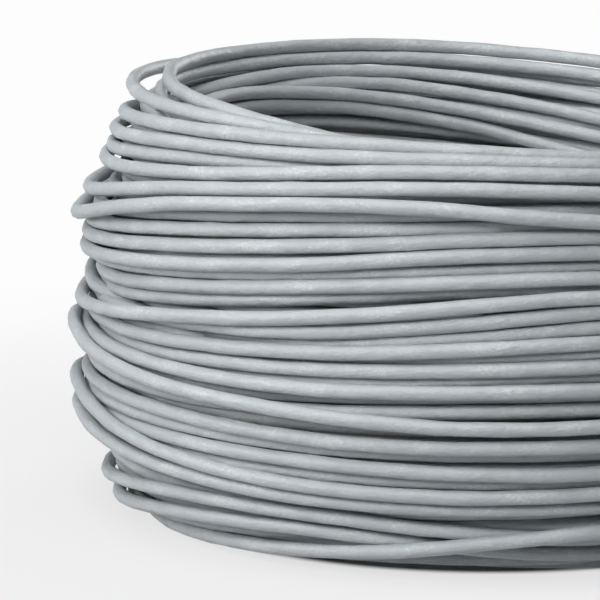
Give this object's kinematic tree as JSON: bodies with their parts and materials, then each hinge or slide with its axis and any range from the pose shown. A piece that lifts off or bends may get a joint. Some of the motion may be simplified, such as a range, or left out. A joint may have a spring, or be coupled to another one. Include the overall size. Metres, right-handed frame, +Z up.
{
  "type": "coiled single-core wire",
  "caption": "Loose untied round coil of pale blue-grey insulated solid copper wire, lying flat, with an open hollow and plain square-cut ends.",
  "frame": {"origin": "on the coil's axis, in the plane of the surface that its lowest turns stand on", "axes": "+Z up along the coil's axis; +X towards the coil's right as it is seen from the front, which faces -Y"},
  "size_m": [0.123, 0.123, 0.065],
  "materials": {
    "insulation": "pale blue-grey extruded PVC, satin, slightly uneven and scuffed",
    "conductor": "bare drawn copper, cut square"
  },
  "bodies": {
    "root": {"wire_coil": "insulation", "outer_end_insulation": "insulation", "outer_end_core": "conductor", "inner_end_insulation": "insulation", "inner_end_core": "conductor"}
  },
  "joints": []
}
